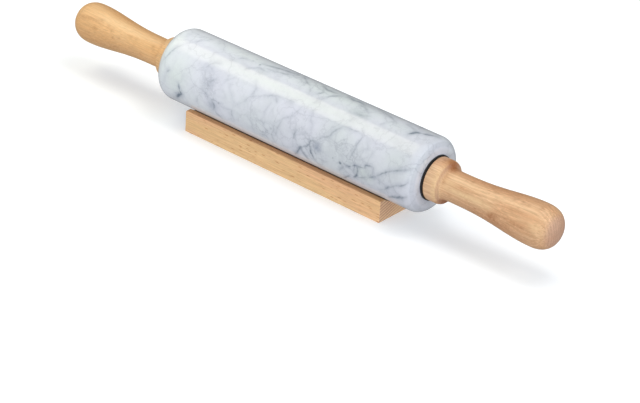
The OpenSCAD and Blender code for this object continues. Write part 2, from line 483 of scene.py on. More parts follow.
def glue_grooves(first, spacing, count, radius, width, depth, slope):
    """Points of a row of grooves for glue along a straight stretch."""
    points = []
    for i in range(count):
        x = first + spacing * i
        points += [(x, radius), (x + slope, radius - depth)]
        points += [(x + width - slope, radius - depth), (x + width, radius)]
    return points


def bush_outline():
    """Closed outline of the right bush: a flange with rounded rims and a sleeve with three glue grooves."""
    bevel, rim, hole_r = 1 * MM, 0.5 * MM, 5.05 * MM
    start = barrel_half - bush_len
    points = [(start, hole_r + bevel / 2), (start, bush_r - bevel), (start + bevel, bush_r)]
    points += glue_grooves(start + 5 * MM, 4 * MM, 3, bush_r, 1.2 * MM, 0.4 * MM, 0.4 * MM)
    points += [(barrel_half, bush_r), (barrel_half, flange_r)]
    points += arc((barrel_half + flange_t - rim, flange_r - rim), rim, 90, 0, 4)
    points += [(barrel_half + flange_t, hole_r + bevel / 2), (barrel_half + flange_t - bevel / 2, hole_r)]
    return points + [(start + bevel / 2, hole_r), points[0]]


def washer_outline():
    """Closed outline of the right washer, with small bevels from stamping and tumbling."""
    bevel = 0.25 * MM
    near, far = thrust_x, thrust_x + washer_t
    points = [(near, stud_clear_r + bevel), (near, washer_r - bevel), (near + bevel, washer_r)]
    points += [(far - bevel, washer_r), (far, washer_r - bevel), (far, stud_clear_r + bevel)]
    return points + [(far - bevel, stud_clear_r), (near + bevel, stud_clear_r), points[0]]


def threaded_run(start, end, radius):
    """Points along a straight stretch, close enough together to carry a thread."""
    steps = round(abs(end - start) / (thread_pitch / 10))
    return [(start + (end - start) * i / steps, radius) for i in range(steps + 1)]


def insert_outline():
    """Closed outline of the right insert: eight glue grooves outside and a threaded bore."""
    mouth, hole_r, bevel = 0.7 * MM, 4.05 * MM, 0.35 * MM
    start = thrust_x + washer_t
    end = start + insert_len
    points = [(start, hole_r + mouth), (start, insert_r - bevel), (start + bevel, insert_r)]
    points += glue_grooves(start + 1.6 * MM, 2.2 * MM, 8, insert_r, 0.8 * MM, 0.35 * MM, 0.2 * MM)
    points += [(end - bevel, insert_r), (end, insert_r - bevel)]
    return points + threaded_run(end, start + mouth, hole_r) + [points[0]]


def axle_outline():
    """Outline of the axle: a bar with a shoulder and a threaded stud at each end."""
    bevel = 0.8 * MM
    tip = thrust_x + stud_len
    end = [(thrust_x, axle_r)] + threaded_run(thrust_x, tip - bevel, stud_r)
    end += [(tip, stud_r - bevel), (tip, 0)]
    return mirrored(end, "left") + end


# Cradle

def cradle_section():
    """Corners of the cradle's section (y, z), with the groove as an arc between two flat lands."""
    steps = 40
    centre = cradle_floor + groove_r
    reach = acos((centre - cradle_high.z) / groove_r)
    half = cradle_high.y
    points = [(-half, 0), (half, 0), (half, cradle_high.z)]
    for i in range(steps + 1):
        a = reach - 2 * reach * i / steps
        points.append((groove_r * sin(a), centre - groove_r * cos(a)))
    return points + [(-half, cradle_high.z)]


def edge_weight(a, b):
    """Share of the outer edges' rounding that the edge between two of the cradle's corners gets."""
    top, half = cradle_high.z - TINY, cradle_high.y - TINY
    middle = (a + b) / 2
    across, raised, inside = abs(a.x - b.x) < TINY, middle.z > TINY, abs(a.y) < half
    outer = abs(middle.y) > half and raised
    land_end = across and middle.z > top
    foot = a.z < TINY and b.z < TINY
    groove_line = not across and a.z > top and inside
    groove_end = across and raised and middle.z < top and inside
    if outer or land_end:
        return 1.0
    return groove_ease / cradle_ease if foot or groove_line or groove_end else 0.0


def cradle_block():
    """The cradle as a long prism, with each edge's share of rounding stored on it."""
    block = bmesh.new()
    ends = []
    for x in (cradle_low.x, cradle_high.x):
        ends.append([block.verts.new((x, y, z)) for y, z in cradle_section()])
    count = len(ends[0])
    block.faces.new(ends[0])
    block.faces.new(list(reversed(ends[1])))
    for i in range(count):
        j = (i + 1) % count
        block.faces.new((ends[0][j], ends[0][i], ends[1][i], ends[1][j]))
    bmesh.ops.recalc_face_normals(block, faces=block.faces)
    layer = block.edges.layers.float.new("bevel_weight_edge")
    for edge in block.edges:
        edge[layer] = edge_weight(*(v.co for v in edge.verts))
    mesh = bpy.data.meshes.new("cradle_block")
    block.to_mesh(mesh)
    block.free()
    return mesh


def make_cradle(material):
    """The block with rounded outer edges and sanded arrises along its groove and foot."""
    mesh = cradle_block()
    maker = new_object("cradle_block", mesh)
    bevel = maker.modifiers.new("eased_edges", "BEVEL")
    bevel.limit_method, bevel.width, bevel.segments = "WEIGHT", cradle_ease, 5
    bevel.use_clamp_overlap = bevel.harden_normals = True
    mesh.materials.append(material)
    mesh.shade_smooth()
    return settle("cradle_block_beech", maker)


# Wood

# Marks in the handles' grain as (depth, width in millimetres, path), with painted shade and a painted sheen
# among them, as noted. A path's points are (x in millimetres, angle in degrees), as on the barrel. Dark ones
# are brown and light ones pale.
HANDLE_DARK = {
    "right": (
        (0.9, 1.3, ((201.6, 197), (196, 192), (190.4, 186.5), (194, 180), (199, 175.5))),
        (0.5, 1.1, ((199, 175.5), (205, 171), (213, 170), (221, 172), (226, 175), (228.8, 183), (227, 191))),
        (0.55, 1.2, ((152, 150), (157, 152), (165, 154), (174, 156))),
        (0.35, 0.8, ((192, 136), (204, 139), (218, 140), (234, 143))),
        (0.35, 0.8, ((201, 149), (212, 148), (224, 151))),
        (0.3, 0.7, ((150, 136), (164, 139), (180, 139))),
        # The next two are painted shade in the cove behind the collar: a dark patch on its top and a dark
        # line down its front.
        (1.3, 2.4, ((143.6, 56), (143.8, 70), (144.2, 84), (144.2, 98))),
        (0.45, 1.2, ((145, 96), (144.6, 112), (144.8, 130), (145.4, 150))),
        (0.9, 0.7, ((166, 101), (166, 107))),
        (0.7, 0.6, ((186.6, 105), (187.4, 110))),
        (0.6, 0.55, ((189.4, 105), (190, 109.5))),
        (0.55, 0.5, ((205, 110), (205.8, 114))),
        (0.45, 0.5, ((207.3, 104), (207.8, 108))),
        (0.5, 0.5, ((212, 108.5), (213.5, 111))),
        (0.5, 0.5, ((217.4, 110.5), (219, 113))),
        (0.5, 0.5, ((227.8, 98), (228.2, 106))),
        (0.35, 0.6, ((173.2, 186), (173.8, 190))),
        (0.4, 1.5, ((150, 178), (153, 186), (151, 194))),
        # The next two are painted shade: broad darker bands along the underside and along the top edge.
        (0.45, 5.0, ((150, 200), (190, 202), (232, 198))),
        (0.5, 3.0, ((150, 78), (190, 75), (228, 72))),
    ),
    "left": (
        (0.5, 0.6, ((-232, 146), (-225, 143), (-218, 141), (-206.5, 140.5))),
        (0.6, 0.5, ((-210.5, 131), (-207.5, 132))),
        (0.6, 0.5, ((-214.5, 161), (-209.5, 161.5))),
        (0.5, 0.5, ((-197, 147.5), (-195, 149))),
        (0.5, 0.5, ((-200.6, 139), (-199, 140))),
        (0.6, 0.5, ((-177, 139), (-175.5, 140.5))),
        (0.5, 0.5, ((-171.5, 139.5), (-169.8, 141))),
        (0.6, 0.5, ((-153, 137), (-151, 140))),
        (0.5, 0.5, ((-151.6, 152), (-149.8, 153.5))),
        (0.55, 0.5, ((-194, 166), (-192, 168))),
        (0.5, 0.5, ((-187.6, 160), (-185.6, 162))),
        (0.45, 0.5, ((-176.6, 179), (-174.8, 181))),
        (0.45, 0.5, ((-201, 181), (-199, 183))),
        (0.5, 2.0, ((-201, 195), (-192, 198), (-183, 198))),
        (0.45, 1.6, ((-165, 187), (-159, 188))),
        (0.35, 2.2, ((-228, 192), (-220, 189), (-210, 190))),
        # The next two are painted shade: broad darker bands along the underside and along the top edge.
        (0.4, 5.0, ((-232, 206), (-200, 208), (-148, 208))),
        (0.5, 3.0, ((-226, 76), (-190, 74), (-150, 80))),
    ),
}
HANDLE_LIGHT = {
    "right": (
        (0.9, 1.0, ((148, 162.5), (160, 163), (174, 162), (189, 163))),
        (0.65, 1.0, ((141.7, 110), (141.7, 165), (141.7, 212))),
        (0.7, 1.6, ((227, 157), (231, 159), (234, 163))),
        (0.6, 0.9, ((145, 143), (150, 143), (157, 144))),
        (0.4, 1.2, ((148, 117), (165, 120), (186, 121), (212, 124), (232, 127))),
        (0.35, 0.7, ((150, 130), (168, 131), (190, 131), (214, 133))),
        (0.35, 0.7, ((152, 108), (170, 110), (185, 112))),
        (0.3, 0.8, ((204, 152.5), (214, 153), (224, 155))),
    ),
    "left": (
        # Painted sheen: a broad pale band along the upper front of the handle.
        (0.35, 2.5, ((-228, 112), (-205, 115), (-180, 118), (-155, 120))),
        (0.25, 2.0, ((-190, 143), (-172, 144), (-152, 146))),
    ),
}
HANDLE_ARC_MM = 0.262      # millimetres round the handle for each degree, where it is 30 mm thick
HANDLE_SEAM = 40           # degree where the paths' angles start again, behind the handle

# The three cuts of beech. pith is where the tree's middle lies from the origin (y, z), and marks holds
# the tints of the dark and light marks, which also carry painted shade and sheen.
BEECH = {
    "oiled_beech_left": dict(
        pith=(0.030, axis_h + 0.075), shift=0.4, roughness=0.42, bump=0.35, gloss=1.0,
        marks={"dark_mark_and_shade": (0.45, 0.19, 0.055, 1), "light_mark_and_sheen": (0.84, 0.60, 0.31, 1)},
        Ring_Width=2.4 * MM, Ring_Depth=0.14, Fleck_Amount=0.25, Streak_Depth=0.24, End_Depth=0.4,
        Pale=(0.845, 0.53, 0.255, 1), Dark=(0.66, 0.33, 0.10, 1), Blush=(0.83, 0.47, 0.19, 1),
        End_Tint=(0.70, 0.40, 0.18, 1), End_Pale=(0.82, 0.57, 0.335, 1),
    ),
    "oiled_beech_right": dict(
        pith=(0.0754, axis_h + 0.0093), roughness=0.38, bump=0.35, gloss=1.0,
        marks={"dark_mark_and_shade": (0.39, 0.145, 0.045, 1), "light_mark_and_sheen": (0.82, 0.58, 0.32, 1)},
        Ring_Width=2.2 * MM, Ring_Depth=0.20, Fleck_Amount=0.5, Streak_Depth=0.5, End_Depth=0.72,
        Pale=(0.815, 0.535, 0.31, 1), Dark=(0.52, 0.27, 0.12, 1), Blush=(0.78, 0.43, 0.225, 1),
        End_Tint=(0.48, 0.26, 0.20, 1), End_Pale=(0.58, 0.365, 0.265, 1),
    ),
    "sanded_beech": dict(
        # Its faces that look up get painted shade, as the barrel shades the lands.
        pith=(0.05, -0.20), roughness=0.5, bump=0.5, gloss=0.1, top_tint=(0.95, 0.86, 0.80, 1),
        Ring_Width=2.5 * MM, Ring_Depth=0.13, Fleck_Amount=0.75, Streak_Depth=0.25, End_Depth=0.9,
        Pale=(0.79, 0.53, 0.28, 1), Dark=(0.57, 0.33, 0.16, 1), Blush=(0.80, 0.48, 0.28, 1),
        End_Tint=(0.54, 0.30, 0.225, 1), End_Pale=(0.82, 0.57, 0.335, 1),
    ),
}


def growth_rings(net, place, width):
    """Late wood of the rings round the pith, a little wavy and stronger in some places than in others."""
    sway = net.minus(net.long_noise(place, 7, 24, 2.0), 0.5)
    wavy = net.math("MULTIPLY_ADD", sway, 3.5 * MM, net.from_x_axis(place))
    ring = net.math("FRACT", net.over(wavy, width))
    late = net.times(net.ramp(ring, 0.30, 0.93), net.ramp(ring, 1.0, 0.95))
    return net.times(late, net.ramp(net.long_noise(place, 5, 90, 2.0), 0.3, 0.7, 0.35, 1.25))


def ray_flecks(net, place):
    """Short flecks along the grain, from some of the cells of a stretched pattern."""
    cells = net.vector("MULTIPLY", place, (130, 640, 640))
    rays = net.add("ShaderNodeTexVoronoi", {"Vector": cells, "Scale": 1.0, "Randomness": 1.0}).outputs
    picked = net.ramp(net.split(rays["Color"])["X"], 0.25, 0.80)
    return net.times(net.ramp(rays["Distance"], 0.34, 0.12), picked)


def build_grain_group():
    """Beech as a solid: growth rings round the pith, streaks and fibres along it, short ray flecks, fine
    pores and end grain. Position is in metres from the pith, with X along the grain."""
    net, given, out = new_group(
        "beech_grain", "ShaderNodeTree",
        {
            "Position": VECTOR, "Normal": VECTOR, "Ring Width": REAL, "Ring Depth": REAL,
            "Fleck Amount": REAL, "Streak Depth": REAL, "End Depth": REAL, "Pale": COLOUR,
            "Dark": COLOUR, "Blush": COLOUR, "End Tint": COLOUR, "End Pale": COLOUR,
        },
        {"Color": COLOUR, "Roughness": REAL, "Height": REAL},
    )
    place, pale, dark = given["Position"], given["Pale"], given["Dark"]
    rings = growth_rings(net, place, given["Ring Width"])
    fibres = net.long_noise(place, 60, 1400, 3.0, 0.7)
    streaks = net.ramp(net.long_noise(place, 14, 820, 4.0, 0.7), 0.42, 0.60)
    pores = net.ramp(net.long_noise(place, 260, 3600, 1.0), 0.60, 0.74)
    blush = net.ramp(net.long_noise(place, 12, 70, 2.0), 0.40, 0.68)
    end = net.ramp(net.math("ABSOLUTE", net.split(given["Normal"])["X"]), 0.55, 0.97)
    fleck = net.times(ray_flecks(net, place), net.times(net.minus(1.0, end), given["Fleck Amount"]))
    body = net.mix(net.times(blush, 0.75), pale, given["Blush"])
    body = net.mix(net.times(rings, given["Ring Depth"]), body, dark)
    body = net.mix(net.times(streaks, given["Streak Depth"]), body, dark)
    between = net.ramp(rings, 0.42, 0.10, 0.0, 0.85)
    end_line = net.mix(between, given["End Tint"], given["End Pale"])
    body = net.mix(net.times(end, given["End Depth"]), body, end_line)
    deep = net.tinted(dark, (0.82, 0.54, 0.42, 1))
    body = net.mix(fleck, body, deep)
    body = net.mix(net.times(pores, 0.16), body, deep)
    net.link(net.scaled(body, net.ramp(fibres, 0.3, 0.7, 0.88, 1.12)), out["Color"])
    net.link(net.plus(net.times(fibres, 0.14), net.times(end, 0.12)), out["Roughness"])
    low = net.plus(net.times(pores, 0.7), net.times(fleck, 0.4))
    net.link(net.minus(net.times(fibres, 0.4), low), out["Height"])
    return net.tree


def marked(net, colour, place, marks):
    """Lays the stored marks, painted shade and sheen among them, over the wood's colour, with ragged edges.
    """
    ragged = net.ramp(net.noise(place, 600.0, 3.0, 0.6), 0.3, 0.6, 0.5, 1.1)
    for label, tint in marks.items():
        colour = net.mix(net.times(net.stored(label), ragged, clamp=True), colour, tint)
    return colour


def beech(name, grain, pith, roughness, bump, gloss, shift=0.0, top_tint=None, marks=None, **look):
    """A beech material. shift slides its pattern along the grain, and the shade on top darkens what faces
    up: painted shade, where the barrel shades the cradle's lands.
    """
    net, shader, material = new_material(name, Specular_IOR_Level=gloss, IOR=1.6)
    coordinates = net.coordinates()
    inputs = spaced(look)
    inputs["Position"] = net.moved(coordinates["Object"], (shift, -pith[0], -pith[1]))
    inputs["Normal"] = coordinates["Normal"]
    wood = net.add("ShaderNodeGroup", inputs, node_tree=grain).outputs
    colour = wood["Color"]
    if marks:
        colour = marked(net, colour, coordinates["Object"], marks)
    # Painted shade on what faces up.
    if top_tint:
        up = net.ramp(net.split(coordinates["Normal"])["Z"], 0.6, 0.97)
        colour = net.mix(up, colour, net.tinted(colour, top_tint))
    net.link(colour, shader.inputs["Base Color"])
    net.link(net.plus(wood["Roughness"], roughness), shader.inputs["Roughness"])
    net.relief(shader, wood["Height"], bump, 0.1 * MM)
    return material


# Marble

LAVENDER_WHITE = (0.668, 0.694, 0.778, 1)
GREEN_WHITE = (0.635, 0.70, 0.70, 1)
BROAD_GREY = (0.47, 0.505, 0.55, 1)
MOTTLED_GREY = (0.50, 0.53, 0.59, 1)
CLOUD_GREY = (0.335, 0.375, 0.455, 1)
LINE_HAZE = (0.41, 0.44, 0.51, 1)
LINE_GREY = (0.22, 0.25, 0.31, 1)
VEIN_GREY = (0.145, 0.185, 0.23, 1)
# Painted light: the end faces made paler and cooler.
END_FACE_PAINTED_LIGHT = (1.07, 1.09, 1.11, 1)       # tint of the end faces

# Nets of finer lines as (size of a cell in metres, width of a line in cells, share that shows, least
# strength where the barrel isn't fretted).
LINE_NETS = ((0.022, 0.034, 0.36, 0.40), (0.0095, 0.05, 0.42, 0.05))
LINE_STRENGTH = 0.42
LINE_HAZE_SHARE = 0.4

# Veins of the barrel as (depth, width in millimetres, path). A path's points are (x in millimetres,
# angle in degrees), where 90 is the top of the barrel and 180 is its front.
VEINS = (
    # left end
    (0.75, 0.9, ((-103.5, 179), (-103, 186), (-102.5, 191))),
    (1.1, 1.5, ((-102.5, 191), (-101.3, 196), (-104, 201), (-107, 206), (-110, 213))),
    (0.5, 1.1, ((-114.5, 165), (-116, 168), (-117.5, 171))),
    (0.2, 0.8, ((-117.5, 171), (-119, 180), (-121, 190))),
    (0.42, 0.9, ((-124, 158), (-121, 148), (-119, 139), (-117.5, 131), (-114, 121))),
    (0.25, 1.0, ((-114, 121), (-109, 112), (-104, 103), (-100, 92), (-98, 82))),
    (0.2, 0.7, ((-99, 163), (-100, 172), (-102, 178))),
    (0.3, 1.1, ((-85, 189), (-84, 194), (-86, 199))),
    (0.2, 1.6, ((-120, 100), (-114, 92), (-106, 88), (-101, 87))),
    (0.2, 1.5, ((-84, 95), (-79, 99), (-74, 104))),
    (0.22, 1.2, ((-95, 78), (-90, 87), (-89, 91))),
    # the curl and the knot left of the middle
    (0.3, 0.9, ((-87, 143), (-82, 138), (-79, 131), (-75, 126), (-70, 124))),
    (0.22, 0.9, ((-84, 131), (-78, 136), (-73, 139), (-71, 146))),
    (0.32, 1.1, ((-80, 145), (-79, 155), (-77, 164), (-78.5, 171))),
    (0.38, 1.3, ((-67, 148), (-70, 152), (-73, 158), (-77, 166))),
    (0.6, 1.0, ((-78.5, 171), (-75, 174.5), (-73, 178), (-71.8, 183))),
    (0.42, 0.9, ((-71, 178), (-68, 180), (-65, 179), (-61, 182), (-57, 180))),
    (0.6, 1.5, ((-68, 182), (-65.5, 187), (-65, 192), (-67, 198))),
    (0.35, 1.0, ((-71, 184), (-70, 191), (-68, 197))),
    (0.55, 1.2, ((-65, 200), (-62.5, 205), (-59, 211))),
    (0.3, 0.7, ((-61, 182), (-55, 185), (-50, 184), (-46, 183))),
    (0.42, 0.8, ((-46, 183), (-46.3, 190), (-45.5, 196), (-45, 202))),
    (0.25, 0.7, ((-53, 131), (-53.5, 137), (-58, 143), (-59.5, 149), (-61, 157))),
    (0.22, 0.8, ((-54, 142), (-52, 153), (-48, 162), (-45, 172), (-46, 182))),
    (0.2, 0.8, ((-64, 155), (-58, 160), (-54, 166), (-52, 175))),
    (0.2, 0.7, ((-70, 166), (-64, 171), (-57, 170), (-52, 175))),
    # the long line to the middle
    (0.3, 0.7, ((-45, 177), (-40, 169), (-35, 160), (-31, 151), (-25, 146), (-20, 141.5))),
    (0.42, 0.7, ((-20, 141.5), (-14, 136.5), (-9, 133), (-2, 132), (5, 132), (9.5, 130))),
    (0.42, 0.8, ((-34, 125), (-31.5, 132), (-30, 139), (-30.8, 147))),
    (0.4, 0.9, ((-10.5, 134), (-8, 140), (-6.8, 144))),
    (0.22, 0.7, ((-11, 142), (-11.5, 151), (-14, 160), (-14.5, 171))),
    (0.18, 0.7, ((-6, 143), (-7, 152), (-8, 162))),
    (0.22, 0.8, ((-38, 158), (-35, 165), (-34, 172))),
    # right of it, low
    (0.32, 0.9, ((-32, 181), (-29, 183), (-26, 187), (-25, 195))),
    (0.36, 0.8, ((-24, 181), (-20, 181), (-16, 178.5), (-13.5, 181), (-12, 176), (-7, 174))),
    (0.42, 0.9, ((-7, 174), (-3.5, 179), (-3, 184), (-5, 191), (-4.5, 199), (-3.5, 206))),
    (0.5, 1.1, ((-6.5, 181), (-5.5, 185))),
    (0.45, 0.9, ((-19, 204), (-13, 201.5), (-10, 205))),
    (0.25, 0.8, ((-20, 190), (-21, 197), (-19, 204))),
    (0.28, 0.8, ((-2, 174), (0, 168), (4, 160), (9, 154), (13, 146), (15, 138), (17, 131), (21, 126))),
    (0.35, 0.9, ((4, 160), (2.5, 169), (0.5, 178), (-0.5, 188), (-2, 193))),
    (0.22, 0.8, ((21, 126), (24, 119), (26, 108), (29, 97), (32, 89))),
    # the tick above the middle and the small one under it
    (0.4, 0.75, ((26, 131), (27.3, 140), (29.3, 147), (31.8, 150))),
    (0.28, 0.7, ((31.8, 150), (32.5, 159), (34, 168))),
    (0.5, 0.8, ((18.8, 169), (17.8, 176), (16.7, 184))),
    (0.25, 0.7, ((26, 168), (22, 169.5), (18.8, 171))),
    (0.3, 0.7, ((16.7, 184), (16, 196), (12, 203), (9, 206))),
    # the long vein that climbs to the right
    (0.9, 1.2, ((15.5, 213), (18.5, 207), (21, 201), (23.5, 194), (25, 190.5))),
    (0.6, 0.9, ((25, 190.5), (28, 187), (32.5, 181), (34.5, 173), (39, 170))),
    (0.4, 0.8, ((38, 172), (43, 163), (49, 157.5))),
    (0.55, 1.0, ((44, 162), (49, 157), (51.5, 149), (53.5, 142), (57.5, 135.5))),
    (0.3, 1.0, ((46, 161), (50, 158), (53, 157))),
    (0.42, 0.7, ((57.5, 135.5), (61, 133), (68, 133), (75, 132))),
    (0.28, 0.8, ((57.5, 135.5), (58.5, 127), (60.5, 118), (61.5, 110))),
    (0.7, 1.0, ((24.5, 191), (25.2, 198), (27.5, 206), (29, 211))),
    (0.75, 1.0, ((33, 181), (34.3, 188), (35.2, 196), (36.5, 203))),
    (0.3, 0.9, ((36.5, 203), (39, 210), (41, 216))),
    (0.3, 0.7, ((35, 173), (38, 172.5), (41, 173))),
    (0.32, 0.9, ((36, 186), (39, 190), (43, 189))),
    (0.4, 1.0, ((44, 198), (48, 197), (52, 195))),
    # down from the band on the right
    (0.42, 0.8, ((75, 132), (76.5, 139), (75.2, 150), (74, 163), (72, 174), (70.5, 180))),
    (0.28, 0.7, ((80, 134), (82.5, 141), (85, 148.5), (83, 153), (79, 159), (75.5, 160.5))),
    (0.25, 0.7, ((83, 153), (88, 158), (84, 166), (78, 170), (75, 171))),
    (0.3, 0.6, ((91, 151), (90, 158), (89, 165), (88, 174))),
    # the fretted line along the front
    (0.95, 1.1, ((69, 186), (72, 186), (74.5, 184))),
    (0.7, 0.8, ((74.5, 184), (77, 181), (81, 178.5), (87, 177.3))),
    (0.4, 1.0, ((70, 179), (73, 180), (76, 179))),
    (0.65, 0.9, ((87, 177.3), (87.6, 172.5), (91, 171.5), (94.3, 170))),
    (0.5, 0.7, ((94.3, 170), (95, 176), (95.3, 183))),
    (0.6, 0.9, ((80, 179), (80.6, 186), (80, 192))),
    (0.85, 1.3, ((80, 192), (79, 197), (76, 203))),
    (0.5, 0.8, ((78.5, 199), (83, 197.5), (88, 192), (92, 188.5))),
    (0.85, 1.1, ((92, 188.5), (95, 186), (98, 182.5))),
    (0.55, 0.8, ((98, 182.5), (101, 177), (105, 171), (108.5, 167.5))),
    (0.6, 1.0, ((105, 171), (108.5, 167.5))),
    (0.8, 0.9, ((108.5, 167.5), (112, 163), (117, 158.5), (122, 155), (128, 151))),
    (0.4, 0.8, ((99.5, 181), (101.5, 187), (102.3, 193))),
    (0.32, 0.9, ((97, 206), (103, 201), (106, 198))),
    (0.6, 1.1, ((106, 198), (109.5, 192.5), (113, 188))),
    (0.6, 0.9, ((113, 188), (118, 181), (123, 177), (128, 170))),
    (0.7, 1.5, ((108, 213), (114, 206), (120, 200), (127, 196))),
    (0.65, 1.1, ((61.5, 203), (64, 197), (66.5, 191))),
    (0.3, 0.9, ((58, 195), (61, 189), (63, 183))),
    (0.65, 1.2, ((64, 217), (68, 210), (72, 203))),
    (0.3, 0.8, ((85, 208), (92, 203), (97, 200))),
    (0.35, 0.8, ((62, 172), (66, 176), (69, 180))),
    (0.22, 1.0, ((62, 150), (66, 157), (64, 165), (66, 172))),
    # wisps along the top
    (0.47, 1.0, ((-50, 114), (-45, 109), (-41, 103), (-37, 104), (-31, 103))),
    (0.57, 1.8, ((-42, 92), (-34, 88), (-26, 83), (-17, 79), (-8, 76))),
    (0.38, 1.6, ((-38, 100), (-28, 95), (-18, 91), (-9, 84))),
    (0.57, 1.2, ((-9, 69), (-5, 79), (1, 88), (6, 93))),
    (0.3, 1.0, ((6, 93), (11, 103), (14, 113))),
    (0.54, 2.2, ((12, 76), (18, 82), (23, 85), (29, 82))),
    (0.47, 1.0, ((16, 84), (21, 94), (19, 101), (16, 109))),
    (0.47, 1.1, ((41, 76), (33, 87), (29, 97), (25, 108))),
    (0.54, 2.5, ((37, 76), (44, 80), (50, 78), (58, 83))),
    (0.43, 1.8, ((52, 84), (60, 90), (66, 97))),
    (0.38, 2.4, ((54, 105), (62, 107), (70, 101))),
    (0.43, 1.6, ((66, 74), (76, 78), (84, 84), (90, 93))),
    (0.34, 0.9, ((82, 108), (84, 101), (87, 94), (86, 86))),
    (1.0, 1.4, ((107, 101), (109.5, 93.5), (113, 90))),
    (0.68, 1.2, ((113, 90), (118, 85.5), (125, 77))),
    (0.38, 2.2, ((96, 82), (104, 86), (110, 92))),
    (0.41, 1.0, ((-63, 102), (-60, 98), (-57, 96))),
)
# Spots of grey as (x, angle, radius in millimetres, depth).
SPOTS = (
    (-42.6, 97, 0.9, 1.3), (-51, 86, 1.6, 0.35), (-51, 94, 1.4, 0.4), (-90, 87, 1.4, 0.35),
    (-100, 87, 2.0, 0.3), (-60.5, 182, 1.3, 0.6), (63.8, 187.5, 1.45, 1.6), (56.3, 184.5, 0.7, 0.8),
    (68.8, 163.5, 0.7, 0.5), (-103.5, 196, 1.8, 0.5), (18, 208, 2.2, 0.5), (87.5, 176, 1.1, 0.4),
    (67, 97, 1.5, 0.3),
)
# Broad clouds of grey as (x, angle, reach along x, reach round the barrel in millimetres, depth).
CLOUDS = (
    (41, 179, 4.6, 4.8, 1.15), (-66, 190, 6, 7, 0.65), (-72, 155, 6, 8, 0.42), (-79, 137, 8, 5, 0.45),
    (21, 199, 5, 6, 0.4), (77, 191, 7, 6, 0.4), (90, 180, 7, 5, 0.25), (70, 208, 9, 6, 0.35),
    (-103, 197, 5, 6, 0.3), (-6, 190, 9, 8, 0.2), (-20, 202, 16, 5, 0.22), (30, 195, 8, 6, 0.25),
    (112, 196, 10, 7, 0.3), (100, 205, 16, 5, 0.3), (-30, 82, 24, 5, 0.14), (20, 80, 20, 5, 0.2),
    (52, 80, 16, 6, 0.28), (78, 80, 16, 5, 0.2), (112, 88, 10, 6, 0.16), (62, 103, 10, 4, 0.25),
    (-46, 195, 8, 8, 0.2), (52, 190, 14, 9, 0.15), (138, 112, 4, 5, 0.35), (136, 150, 3, 9, 0.25),
    (141, 185, 5, 7, 0.25),
)
# Where the finest lines are thick on the ground, in the same terms.
FRETTED = (
    (-72, 165, 12, 17, 0.6), (-12, 188, 14, 12, 0.9), (30, 190, 16, 12, 1.0), (76, 182, 16, 14, 1.0),
    (62, 160, 10, 12, 0.7), (10, 90, 50, 10, 0.6), (-52, 150, 10, 14, 0.5), (140, 150, 12, 30, 0.8),
)
# Where the white turns slightly green, in the same terms.
GREENISH = (
    # The first patch lies along the mirrored stripe of the overhead box: partly the stone's green, partly a
    # painted warm tint of that reflection.
    (10, 121, 120, 5.5, 0.7), (-108, 172, 17, 24, 1.0), (-123, 145, 10, 30, 1.0), (-60, 88, 60, 9, 0.7),
    (30, 88, 60, 11, 0.9), (60, 103, 14, 6, 1.0), (112, 148, 14, 12, 0.7), (86, 187, 12, 8, 1.0),
    (-36, 163, 9, 10, 0.4), (95, 96, 20, 8, 0.6),
)
ARC_MM = barrel_r / MM * pi / 180   # millimetres round the barrel for each degree
BARREL_SEAM = 52                    # degree where the paths' angles start again, behind the barrel
VEIN_WIDTH_SHARE = 0.84             # share of its given width that a vein is laid with
WANDER_MM = 0.75                    # how far veins stray from their paths
WANDER_SIZE = 6.0                   # and the size in millimetres of the bends this gives them
WANDER_SEED = 5                     # without it, Blender's noise would start from the clock


def on_skin(point, arc_mm=ARC_MM):
    """A point's place as millimetres along and round a turned piece."""
    return np.array((point[0], point[1] * arc_mm))


def curved(path, arc_mm, steps=5):
    """Points of a smooth curve through a path's points, on the skin of a turned piece."""
    points = [on_skin(p, arc_mm) for p in path]
    points = [2 * points[0] - points[1]] + points + [2 * points[-1] - points[-2]]
    curve = []
    for a, b, c, d in zip(points, points[1:], points[2:], points[3:]):
        for i in range(steps):
            t = i / steps
            bend = (2 * a - 5 * b + 4 * c - d) * t ** 2 + (3 * b - a - 3 * c + d) * t ** 3
            curve.append(b + ((c - a) * t + bend) / 2)
    return curve + [points[-2]]


def lay_line(skin, vein, haze, depth, width, path, arc_mm=ARC_MM):
    """Adds one vein: a thin core that fades towards its ends, in a soft haze."""
    haze_width, haze_share = 2.1 * width + 0.8, 0.8
    reach = 3.2 * width + 2
    curve = curved(path, arc_mm)
    low, high = np.min(curve, 0) - reach, np.max(curve, 0) + reach
    near = np.nonzero(((skin > low) & (skin < high)).all(1))[0]
    here = skin[near]
    best, at = np.full(len(near), 1e3), np.zeros(len(near))
    for i, (a, b) in enumerate(zip(curve, curve[1:])):
        line = b - a
        share = np.clip((here - a) @ line / (line @ line), 0, 1)
        gap = np.hypot(*(here - a - share[:, None] * line).T)
        at = np.where(gap < best, (i + share) / (len(curve) - 1), at)
        best = np.minimum(best, gap)
    fade = depth * (0.55 + 0.45 * np.sin(pi * at))
    vein[near] = np.maximum(vein[near], fade * np.exp(-(best / width) ** 2))
    haze[near] = np.maximum(haze[near], haze_share * fade * np.exp(-(best / haze_width) ** 2))


def patches(skin, spread):
    """How strongly each skin point lies in a list of soft oval patches."""
    total = np.zeros(len(skin))
    for x, angle, reach_x, reach_round, depth in spread:
        gap = (skin - on_skin((x, angle))) / (reach_x, reach_round)
        total = np.maximum(total, depth * np.exp(-(gap ** 2).sum(1)))
    return total


def wandered(skin, seed):
    """The skin points moved a little by smooth noise, so that what is laid on them wanders."""
    moved = np.empty_like(skin)
    for i, (u, v) in enumerate(skin / WANDER_SIZE):
        drift = noise.noise_vector((u, v, seed)) + 0.6 * noise.noise_vector((2.7 * u, 2.7 * v, seed + 7))
        moved[i] = drift.x, drift.y
    return skin + moved * WANDER_MM


